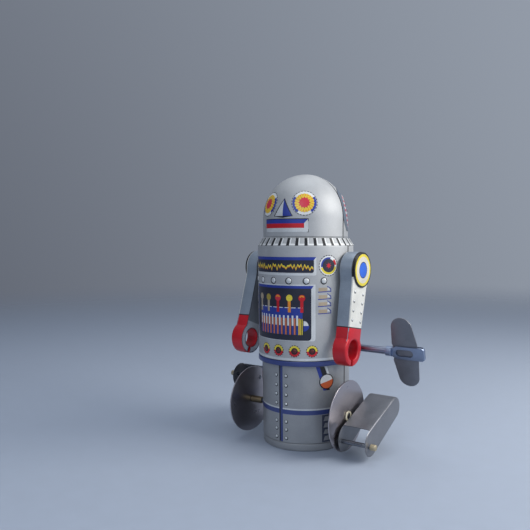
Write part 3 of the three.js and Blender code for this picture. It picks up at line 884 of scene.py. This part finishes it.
def print_chest():
    front = Print("chest_print_front", on_wall(CHEST_R))
    print_wave_panel(front)
    print_lever_panel(front)
    print_both(front, CHEST_R, JEWELS)
    for along in KNOBS:
        front.area(BLACK, circle(along, KNOB_Z, 1.75, 20))
    front.finish()
    knobs = [(along + 0.1, KNOB_Z + 0.1) for along in KNOBS]
    studs("chest_knobs", CHEST_R, knobs, (1.35, 0.4), SILVER_LIGHT)
    studs("chest_lamps", CHEST_R, JEWELS, JEWEL_SIZE, MAROON)


def print_grille(back):
    """A big dark window with pale slats across it."""
    half = 16
    print_window(back, half, 1, 1.9, 0.4)
    for i in range(7):
        up = WINDOW_LOW + 2.6 + 3.4 * i
        back.area(SILVER_LIGHT, rect(3 - half, half - 4, up, up + 1.7), 4)
        back.area(BLUE, rect(3 - half, half - 4, up - 0.5, up), 5)


def print_back():
    """The back's own print: a grille under a small screen."""
    r = CHEST_R - SEAM_STEP
    back = Print("chest_print_back", on_wall(r, 180))
    print_grille(back)
    print_both(back, r, BACK_JEWELS)
    back.area(SILVER_LIGHT, rounded(-9, 9, 90, 98.5, 1.2))
    back.area(NAVY, rounded(-8, 8, 91, 97.2, 0.8), 2)
    back.area(BLUE, rect(-8, 8, 97.2, 98.2), 2)
    back.area(YELLOW, ribbon(trace(-7, 7, 94, 1.5, 16), 0.7), 3)
    back.finish()
    studs("chest_back_lamps", r, BACK_JEWELS, JEWEL_SIZE, MAROON, 180)


EAR_TURN = 126
EAR_FRONT = 92.4  # degrees from the front to the ear's straight edge at the seam
EAR_Z = 121
EAR_BOTTOM = -9.4  # from EAR_Z down to the ear's flat foot, under which no painted shade is laid
EAR_LEAN = 0.22
EAR_DASHES = 44


def ear_oval(half, tall, start=0, end=360, steps=48):
    """Part of an upright oval that leans towards the face."""
    return [(half * a - EAR_LEAN * tall * b, tall * b) for a, b in arc(0, 0, 1, start, end, steps)]


def print_head_sides():
    """A large oval ear on each side of the head's back half, edged in red and white. Its grey fill is
    painted shade on the back half's upper side beside the seam. It stops at a flat foot, under which
    the silver is left lighter.
    """
    seam = math.radians(EAR_TURN - EAR_FRONT) * HEAD_R
    for label, side in SIDES.items():
        def flat(points):
            return [(side * a, b) for a, b in points]
        ear = Print(label + "_ear_print", on_head(side * EAR_TURN, EAR_Z, SEAM_STEP))
        # The grey fill inside the black edge is painted shade.
        for ink, border, layer in ((BLACK, 0.4, 1), (EAR_SHADE_GREY, 0, 2)):
            oval = ear_oval(14 + border, 13.6 + border)[:-1]
            ear.area(ink, flat((max(a, -seam), max(b, EAR_BOTTOM - border)) for a, b in oval), layer)
        step = 360 / EAR_DASHES
        for i in range(EAR_DASHES):
            turns = (i * step, (i + 1) * step, 1)
            dash = ear_oval(9.6, 9.6, *turns) + ear_oval(8.4, 8.4, *turns)[::-1]
            ear.area(PINK_RED if i % 2 else WHITE, flat(dash), 3)
        ear.ring(NAVY, 0, 0, 3.6, 5.4, 3)
        for i in range(8):
            ear.area(SILVER_LIGHT, sector(0, 0, 4, 5, 45 * i, 45 * i + 24), 4)
        ear.area(RED, circle(0, 0, 2.4), 3)
        ear.finish()


RIVET_ZS = (39, 34, 29.2, 24.5, 15.2, 11, 6.6)
RIVETS = [(side * 3, up) for side in (-1, 1) for up in RIVET_ZS]
RIVET_SIZE = (0.72, 0.35)  # radius and height


def print_belts(skirt, r, middle):
    """An upright belt with a dark edge, a belt round the body and the rivets' dark rims."""
    low, high = SKIRT_LOW.z + 0.2, SKIRT_HIGH.z
    edge = math.pi / 2 * r
    skirt.area(NAVY, rect(-1, 0, low, high), 3)
    skirt.area(BELT_BLUE, rect(middle, 1.1, low, high), 3)
    skirt.area(BELT_BLUE, rect(-edge, edge, 19.2, 21.5), 2)
    skirt.area(SILVER_LIGHT, rect(-edge, edge, 21.6, 22.3))
    for along, up in RIVETS:
        skirt.area(BLACK, circle(along + 0.1, up - 0.1, 1, 16))


def print_ladder(skirt, along):
    """A dark ladder with pale gaps between its rungs."""
    low, high = 4.5, 18.8
    left, right = along - 2.6, along + 2.6
    skirt.area(SLATE, rect(left, right, low, high))
    for i in range(4):
        up = low + 0.9 + 3.4 * i
        # The gaps show the skirt's darker silver, which is painted shade.
        skirt.area(SHADED_SILVER, [(left + 0.8, up), (right - 0.8, up), (right - 0.8, up + 2.3),
                                (left + 1.6, up + 2.3)], 2)


def print_lamp(skirt, side):
    """A lamp on a slanted stalk."""
    def at(points):
        return [(side * a, b) for a, b in points]
    top, foot = SKIRT_HIGH.z - 0.2, 31.5
    skirt.area(BLACK, at([(18.5, top), (22.6, foot), (26.2, foot), (23.6, top)]), 2)
    skirt.area(BLUE, at([(18.5, top), (22.6, foot), (24.4, foot + 0.4), (20.4, top)]), 3)
    skirt.area(WHITE, at([(23, top), (24.4, top), (26, 39), (24.9, 39)]), 3)
    along, up, r = side * 24.3, 36.1, 3.5
    skirt.area(BLACK, circle(along, up, r + 0.5), 4)
    skirt.area(WHITE, sector(along, up, POINT, r, 15, 195), 5)
    skirt.area(RUST, sector(along, up, POINT, r, 195, 375), 5)


def print_skirt():
    front = Print("skirt_print_front", on_wall(SKIRT_R))
    print_belts(front, SKIRT_R, -0.1)
    for side in SIDES.values():
        print_lamp(front, side)
        print_ladder(front, side * 24.4)
    front.finish()
    studs("skirt_rivets", SKIRT_R, RIVETS, RIVET_SIZE, SILVER_LIGHT)
    r = SKIRT_R - SEAM_STEP
    back = Print("skirt_print_back", on_wall(r, 180))
    print_belts(back, r, 0)
    back.finish()
    studs("skirt_back_rivets", r, RIVETS, RIVET_SIZE, SILVER_LIGHT, 180)


# ---------- arms ----------


def arm_outline(inset):
    """The arm's edge with its C-shaped hand, drawn about the shoulder in (Y, Z)."""
    shoulder = SHOULDER_R - inset
    hand = HAND_R - inset
    grip = GRIP_R + inset
    front = [(half - inset, z) for half, z in NECK]
    wrist = ARM_WRIST_HALF - inset
    gap = GRIP_GAP / 2 + inset
    hand_angle = math.degrees(math.acos(wrist / hand))
    outer_gap = math.degrees(math.asin(gap / hand))
    inner_gap = math.degrees(math.asin(gap / grip))
    return [
        *arc(0, 0, shoulder, NECK_START, 180 - NECK_START, 40),
        *((-half, z) for half, z in front),
        (-wrist, WRIST_Z),
        *arc(0, HAND_Z, hand, 180 - hand_angle, 270 - outer_gap, 24),
        *arc(0, HAND_Z, grip, 270 - inner_gap, -90 + inner_gap, 48),
        *arc(0, HAND_Z, hand, 270 + outer_gap, 360 + hand_angle, 24),
        (wrist, WRIST_Z),
        *front[::-1],
    ]


ARM_FACE, ARM_WALL, HAND_RED, ARM_BARE, ARM_EDGE = range(5)
UPWARDS = (0, 0, 1)


def arm_skin(face, ringed):
    """The skin that a face of the arm has in its place.

    The grey of the wall runs on as a sliver, narrower downwards, along the red hand's front bend.
    """
    x, y, z = face.calc_center_median()
    was = face.material_index
    if was == ARM_BARE:
        return was
    if z < RED_START:
        sliver_end = ARM_HIGH.x - ARM_BEND * (0.4 + (RED_START - z) / 15)
        sliver = ARM_HIGH.x - ARM_BEND - 0.02 < x < sliver_end and y < 0
        return ARM_WALL if sliver and was == ARM_FACE else HAND_RED
    if z < RED_START + RED_LINE:
        return ARM_EDGE
    return ARM_EDGE if ringed and was == ARM_FACE and z > CAP_EDGE else was


def arm_solid(ringed):
    """One pressed channel: rounded outside, bare inside, open towards the body."""
    low, high = ARM_LOW.x, ARM_HIGH.x
    outside = [(0, low)] + [(i, high + d) for i, d in bend(ARM_BEND)]
    inside = [(SHEET, low)] + [(SHEET + i, high - SHEET + d) for i, d in bend(ARM_BEND - SHEET)]
    bm = bmesh.new()
    outer, inner = ([[bm.verts.new((x, a, b)) for a, b in arm_outline(inset)]
                     for inset, x in stations] for stations in (outside, inside))
    bridge(bm, outer[:2], index=ARM_WALL)
    bridge(bm, outer[1:], index=ARM_FACE)
    bridge(bm, inner, index=ARM_BARE)
    bridge(bm, [outer[0], inner[0]], index=ARM_BARE)
    bm.faces.new(outer[-1]).material_index = ARM_FACE
    bm.faces.new(inner[-1]).material_index = ARM_BARE
    sliver_steps = [RED_START - 1.8 * i for i in range(1, 6)]
    for height in (CAP_EDGE, RED_START, RED_START + RED_LINE, *sliver_steps):
        split(bm, (0, 0, height), UPWARDS)
    for face in bm.faces:
        face.material_index = arm_skin(face, ringed)
    return bm


def arm_rivets():
    """Two columns of small pressed rivets down the arm's face."""
    solids = bmesh.new()
    outwards = Vector((1, 0, 0))
    shadow = Vector((0, 0.15, -0.2))
    for column, first in ((-4.7, -11.2), (3.8, -11.6)):
        for row in range(4):
            at = Vector((ARM_HIGH.x, column, first - 4.6 * row))
            dome(solids, at + shadow, outwards, 0.9, 0.04, 1)
            dome(solids, at, outwards, 0.62, 0.35)
    return solids


def arm_back_solid():
    """The plain plate that closes the arm towards the body. Its hand part is a lighter grey, which is
    painted light: the rest of the plate lies in shade between body and arm.
    """
    start = ARM_LOW.x + 0.15
    outline = arm_outline(SHEET + 0.03)
    bm = loops_solid([[(x, a, b) for a, b in outline] for x in (start, start + SHEET)])
    bm = carve(bm, [bar_solid(0, 0, 2.6, start - 1, start + 2)])
    hand_top = HAND_Z + HAND_R
    split(bm, (0, 0, hand_top), UPWARDS)
    # Below the hand's top the plate takes the lighter grey, which is painted light.
    for face in bm.faces:
        face.material_index = int(face.calc_center_median().z < hand_top)
    return bm


def cap_solid():
    """A thin disc printed in rings: black, yellow, cream, a black line and blue."""
    low, high = CAP_LOW.x, CAP_HIGH.x
    r = (CAP_HIGH.y - CAP_LOW.y) / 2
    bands = [(r, low, 0), (r, high - 0.2, 0), (r - 0.2, high, 0), (7.9, high + 0.03, 1),
             (6.6, high + 0.06, 2), (4.1, high + 0.1, 0), (3.75, high + 0.1, 3), (1.2, high + 0.12, 3)]
    bm = bmesh.new()
    rows = [[bm.verts.new((x, a, b)) for a, b in circle(0, 0, rr, 72)] for rr, x, _ in bands]
    for (_, _, ink), pair in zip(bands, zip(rows, rows[1:])):
        bridge(bm, pair, index=ink)
    bm.faces.new(rows[0][::-1])
    bm.faces.new(rows[-1]).material_index = bands[-1][2]
    return bm


def make_arm(label, side):
    inks = [BLACK, YELLOW, CREAM, BRIGHT_BLUE]
    skins = [ARM_WHITE, ARM_GREY, RED, BARE, BLACK]
    show_parts([
        ("arm_back_plate", arm_back_solid(), [BACK_GREY, HAND_LIT_GREY], "motor_steel", "arm_back"),
        ("cap_disc", cap_solid(), inks, "cap_print", "shoulder_cap"),
        ("arm_stamping", arm_solid(side > 0), skins, "arm_tin", "arm"),
        ("arm_rivets", arm_rivets(), [WHITE, BLACK], "arm_tin", None),
    ], label + "_arm", -ARM_TILTS[side], SHOULDER, label)


# ---------- shoes ----------


def shoe_outline(inset):
    """A shoe's side, drawn from the toe's centre: first along to the heel, then up."""
    lean = math.degrees(math.asin((TOE_R - HEEL_R) / HEEL_U))
    return (arc(0, 0, TOE_R - inset, 90 - lean, 270 + lean, 40)
            + arc(HEEL_U, 0, HEEL_R - inset, -90 + lean, 90 - lean, 36))


def shoe_block(inset, x0, x1, edge):
    """A solid of the shoe's outline, with rounded edges."""
    stations = [(i, x1 + d) for i, d in bend(edge)]
    stations = [(i, x0 + x1 - x) for i, x in stations][::-1] + stations
    return loops_solid([[(x, a, b) for a, b in shoe_outline(inset + i)] for i, x in stations])


def shoe_solid():
    low, high = FOOT_LOW.x, FOOT_HIGH.x
    x0, x1 = low + SHEET, high - SHEET
    before, behind, below, above = -20, 60, -20, 20
    cutters = [
        shoe_block(SHEET, x0, x1, 0.5),
        box_solid(x0, x1, before, behind, below, 0),
        box_solid(x0, x1, before, WEB_START, below, above),
        box_solid(x0, x1, WEB_END, behind, below, above),
        bar_solid(PIN_U, 0, PIN_HOLE_R, low - 1, high + 1),
    ]
    bm = carve(shoe_block(0, low, high, 0.8), cutters)
    bmesh.ops.translate(bm, vec=(0, -PIN_U, 0), verts=bm.verts)
    return bm


def make_shoe(label, side):
    show_parts([("shoe", shoe_solid(), [DARK], "dark_tin", "foot")],
               label + "_shoe", SHOE_SLOPES[side], SHOE_PINS[side], label)


# ---------- key ----------


def key_plate(outline, half, edge):
    """A plate with softened edges, half as thick each way of the key's own (X, Z) plane."""
    bm = bmesh.new()
    loops = [[bm.verts.new((x, y, z)) for x, z in outline] for y in (-half, half)]
    bridge(bm, loops)
    ends = [bm.faces.new(loops[0][::-1]), bm.faces.new(loops[1])]
    bmesh.ops.recalc_face_normals(bm, faces=bm.faces)
    rims = [rim for end in ends for rim in end.edges]
    bmesh.ops.bevel(bm, geom=rims, offset=edge, segments=2, profile=0.5, affect="EDGES")
    return bm


def wings_solid():
    """Both wings of the key in one plate, waisted where the strap holds it."""
    tip = WING_REACH - WING_TIP_R
    outline = []
    for sign in (1, -1):
        outline += [(KEY_MIDDLE + sign * a, sign * b) for a, b in (
            (WING_HALF - 1.6, 0), (WING_HALF, 4.5), *arc(-0.7, tip, WING_TIP_R, 10, 170, 24),
            (-WING_HALF, 4.5))]
    return key_plate(outline, (WINGS_THICK - 0.1) / 2, 0.2)


def strap_solid():
    """A strip folded round the wings and gripped onto the shaft, with a window in it."""
    half, neck, window_half = 3.5, 2.3, 1.9
    start, end = STRAP_LOW.x + 2, STRAP_HIGH.x
    inner, outer = WINGS_THICK / 2 + 0.05, WINGS_THICK / 2 + 0.75
    upper = [(start, neck), (start + 1.5, neck + 0.1), (start + 4, half), (end - 1, half),
             (end, half - 0.8)]
    outline = upper + [(x, -z) for x, z in upper[::-1]]
    slot = [*arc(57.8, 0, window_half, 90, -90, 12), *arc(52.4, 0, window_half, 270, 90, 12)]
    window = key_plate(slot, 5, 0.01)
    cheeks = key_plate(outline, outer, 0.25)
    between = box_solid(start + 1.6, end - 0.7, -inner, inner, -9, 9)
    return carve(cheeks, [between, window])


def make_key():
    neck = bar_solid(0, 0, ARBOR_R + 0.7, STRAP_LOW.x, STRAP_LOW.x + 3.4, 0.4)
    show_parts([
        ("key_wings_plate", wings_solid(), [KEY_DARK], "dark_tin", "key_wings"),
        ("key_strap_fold", strap_solid(), [KEY_STRAP], "dark_tin", "key_strap"),
        ("key_neck", neck, [KEY_STRAP], "dark_tin", None),
    ], "key", KEY_TURN, KEY)
    low, high = span("winding_arbor")
    shaft = bar_solid(0, 0, ARBOR_R, low.x, high.x, 0.2)
    show_parts([("winding_shaft", shaft, [SHAFT_STEEL], "bright_steel", "winding_arbor")],
               "key", 0, KEY)


# ---------- cranks ----------


def make_cranks(label, side):
    """A disc with its hub, sleeve, pin and the pin's cap."""
    disc_r = (DISC_HIGH.z - DISC_LOW.z) / 2
    disc = bar_solid(CRANK.y, CRANK.z, disc_r, DISC_LOW.x, DISC_HIGH.x, 0.2, 96)
    hub_x = DISC_HIGH.x + 0.1
    ring = bar_solid(CRANK.y, CRANK.z, 2.7, hub_x, hub_x + 0.75, 0.3)
    hub = carve(ring, [bar_solid(CRANK.y, CRANK.z, 1.7, hub_x + 0.3, hub_x + 2)])
    parts = [("crank_plate", disc, [DISC_STEEL], "bright_steel", "crank_disc"),
             ("crank_hub", hub, [HUB_CREAM], "brass_trim", None)]
    pin = SHOE_PINS[side]
    for name, node, centre, r, material, slot in (
            ("pin_shaft", "crank_pin", pin, 1.1, STEEL, "bright_steel"),
            ("pin_end", "pin_cap", pin, 1.5, BRASS, "brass_trim"),
            ("axle_tube", "axle_sleeve", CRANK, 1.8, SLEEVE_BRASS, "brass_trim")):
        low, high = span(node + "_left")
        bar = bar_solid(centre.y, centre.z, r, low.x, high.x, 0.25)
        parts.append((name, bar, [material], slot, node))
    show_parts(parts, "cranks", label=label)


# ---------- camera, floor and light ----------

CAMERA_AT = Vector((166.2, -251.3, 106.1))
CAMERA_TURN = 32.5  # degrees from the robot's front, towards its left
CAMERA_DIP = 7.82
FOCAL = 38.72
SHIFT = (-0.0958, 0.1028)
LIGHT_AIM = Vector((0, 0, 70))
FLOOR_REACH = 3000
FADE_START, FADE_END = 0.25, 1.3  # metres from the robot
DIM_SKY = (0.1, 0.112, 0.142, 1)
BRIGHT_SKY = (0.4, 0.45, 0.53, 1)
BRIGHT_SIDE = (0.85, 0.35, 0.4)  # the way to the bright part of the sky


def make_camera():
    data = bpy.data.cameras.new("camera")
    data.lens = FOCAL
    data.sensor_width = 36
    data.shift_x, data.shift_y = SHIFT
    data.clip_start, data.clip_end = 0.01, 20
    camera = linked("camera", data)
    camera.location = CAMERA_AT * MM
    camera.rotation_euler = (math.radians(90 - CAMERA_DIP), 0, math.radians(CAMERA_TURN))
    bpy.context.scene.camera = camera


def area_light(name, at, size, power, color):
    data = bpy.data.lights.new(name, "AREA")
    data.size = size * MM
    data.energy = power
    data.color = color
    light = linked(name, data)
    light.location = Vector(at) * MM
    light.rotation_mode = "QUATERNION"
    light.rotation_quaternion = (LIGHT_AIM - Vector(at)).to_track_quat("-Z", "Y")


def make_floor():
    """A pale floor that fades out far from the robot, so that it has no horizon."""
    bm = bmesh.new()
    corners = ((-1, -1), (1, -1), (1, 1), (-1, 1))
    bm.faces.new([bm.verts.new((a * FLOOR_REACH, b * FLOOR_REACH, 0)) for a, b in corners])
    material = surface("floor", (158, 168, 184), 0.0, 0.85, grain=0.01, patches=0.02, bump=0)
    tree = Tree(material)
    coords = tree.add("TexCoord", "Object", {})
    distance = tree.add("VectorMath", "Value", {0: coords}, "LENGTH")
    fade = tree.nodes.new("ShaderNodeMapRange")
    fade.interpolation_type = "SMOOTHERSTEP"
    tree.fill(fade, {"Value": distance, "From Min": FADE_START, "From Max": FADE_END,
                     "To Min": 1, "To Max": 0})
    tree.fill(tree.nodes["Principled BSDF"], {"Alpha": fade.outputs["Result"]})
    floor = mesh_object("floor", bm, [material])


def make_sky():
    """A soft studio sky that brightens towards the robot's left."""
    world = bpy.data.worlds.new("studio")
    tree = Tree(world)
    coords = tree.add("TexCoord", "Generated", {})
    facing = tree.add("VectorMath", "Value", {0: coords, 1: BRIGHT_SIDE}, "DOT_PRODUCT")
    share = tree.add("MapRange", "Result", {"Value": facing, "From Min": -0.8, "From Max": 0.9})
    mix = tree.nodes.new("ShaderNodeMix")
    mix.data_type = "RGBA"
    tree.fill(mix, {0: share, 6: DIM_SKY, 7: BRIGHT_SKY})
    tree.fill(tree.nodes["Background"], {"Color": mix.outputs[2]})
    bpy.context.scene.world = world


def make_light():
    make_sky()
    bpy.context.scene.view_settings.view_transform = "Standard"
    area_light("key_light", (430, 130, 330), 360, 2.8, (1, 0.97, 0.92))
    area_light("front_light", (60, -420, 330), 300, 0.6, (0.86, 0.92, 1))
    area_light("top_light", (-60, 60, 520), 300, 0.6, (0.92, 0.96, 1))


# ---------- assembly ----------


def paint_nodes(material, *nodes):
    """Gives CAD nodes that are shown as they are a material."""
    for node in nodes:
        slots = frame["nodes"][node].data.materials
        slots.clear()
        slots.append(material)


def paint_frame():
    paint_nodes(STEEL, "crank_axle", "shoulder_rod", "shoulder_bush_left", "shoulder_bush_right")
    paint_nodes(MOTOR_BRASS, "great_wheel", "second_wheel", "star_wheel")
    paint_nodes(SPRING, "mainspring")
    paint_nodes(MOTOR_STEEL, "motor_plate_left", "motor_plate_right", "motor_bracket_front",
                "motor_bracket_back", "ratchet_wheel", "click", "click_spring", "second_arbor",
                "second_pinion", "crank_pinion", "governor_arbor", "governor_pinion", "pallet",
                "pallet_pin", *(f"motor_pillar_{i}" for i in range(1, 5)))


make_camera()
make_head()
make_chest()
make_waist()
make_skirt()
make_base()
print_face()
print_collar()
print_chest()
print_back()
print_head_sides()
print_skirt()
for label, side in SIDES.items():
    make_arm(label, side)
    make_cranks(label, side)
    make_shoe(label, side)
make_key()
paint_frame()
make_floor()
make_light()
